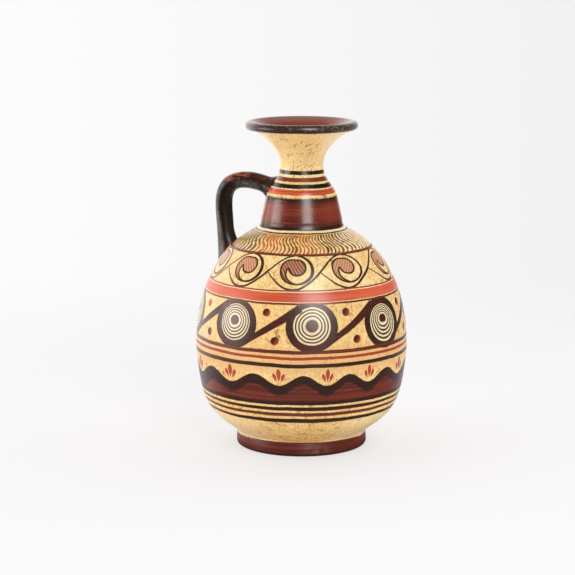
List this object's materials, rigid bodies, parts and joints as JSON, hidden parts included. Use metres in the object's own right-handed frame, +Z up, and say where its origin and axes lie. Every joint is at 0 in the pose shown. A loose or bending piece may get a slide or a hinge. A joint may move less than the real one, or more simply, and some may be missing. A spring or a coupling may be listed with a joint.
{
  "type": "olpe jug",
  "caption": "Round-bodied fired-clay jug on a ring foot, with a bell-shaped neck, narrow throat, trumpet mouth with rolled rim and a looped side handle, for holding and pouring liquid.",
  "frame": {"origin": "on the jug's axis, at the level its foot stands on", "axes": "+Z up along the jug's axis, handle toward -X"},
  "size_m": [0.13, 0.13, 0.2],
  "materials": {
    "brown_slip": "burnished dark brown slip, worn",
    "painted_cream_slip": "burnished cream slip with painted bands",
    "banded_neck_slip": "burnished dark band between cream and red lines",
    "banded_mouth_slip": "burnished cream slip, dark rim and dark inside",
    "black_slip": "burnished black slip, rubbed red-brown on the bend"
  },
  "bodies": {
    "root": {"foot_ring": "brown_slip", "lower_body": "painted_cream_slip", "upper_body": "painted_cream_slip", "neck": "banded_neck_slip", "mouth": "banded_mouth_slip", "handle": "black_slip"}
  },
  "joints": []
}
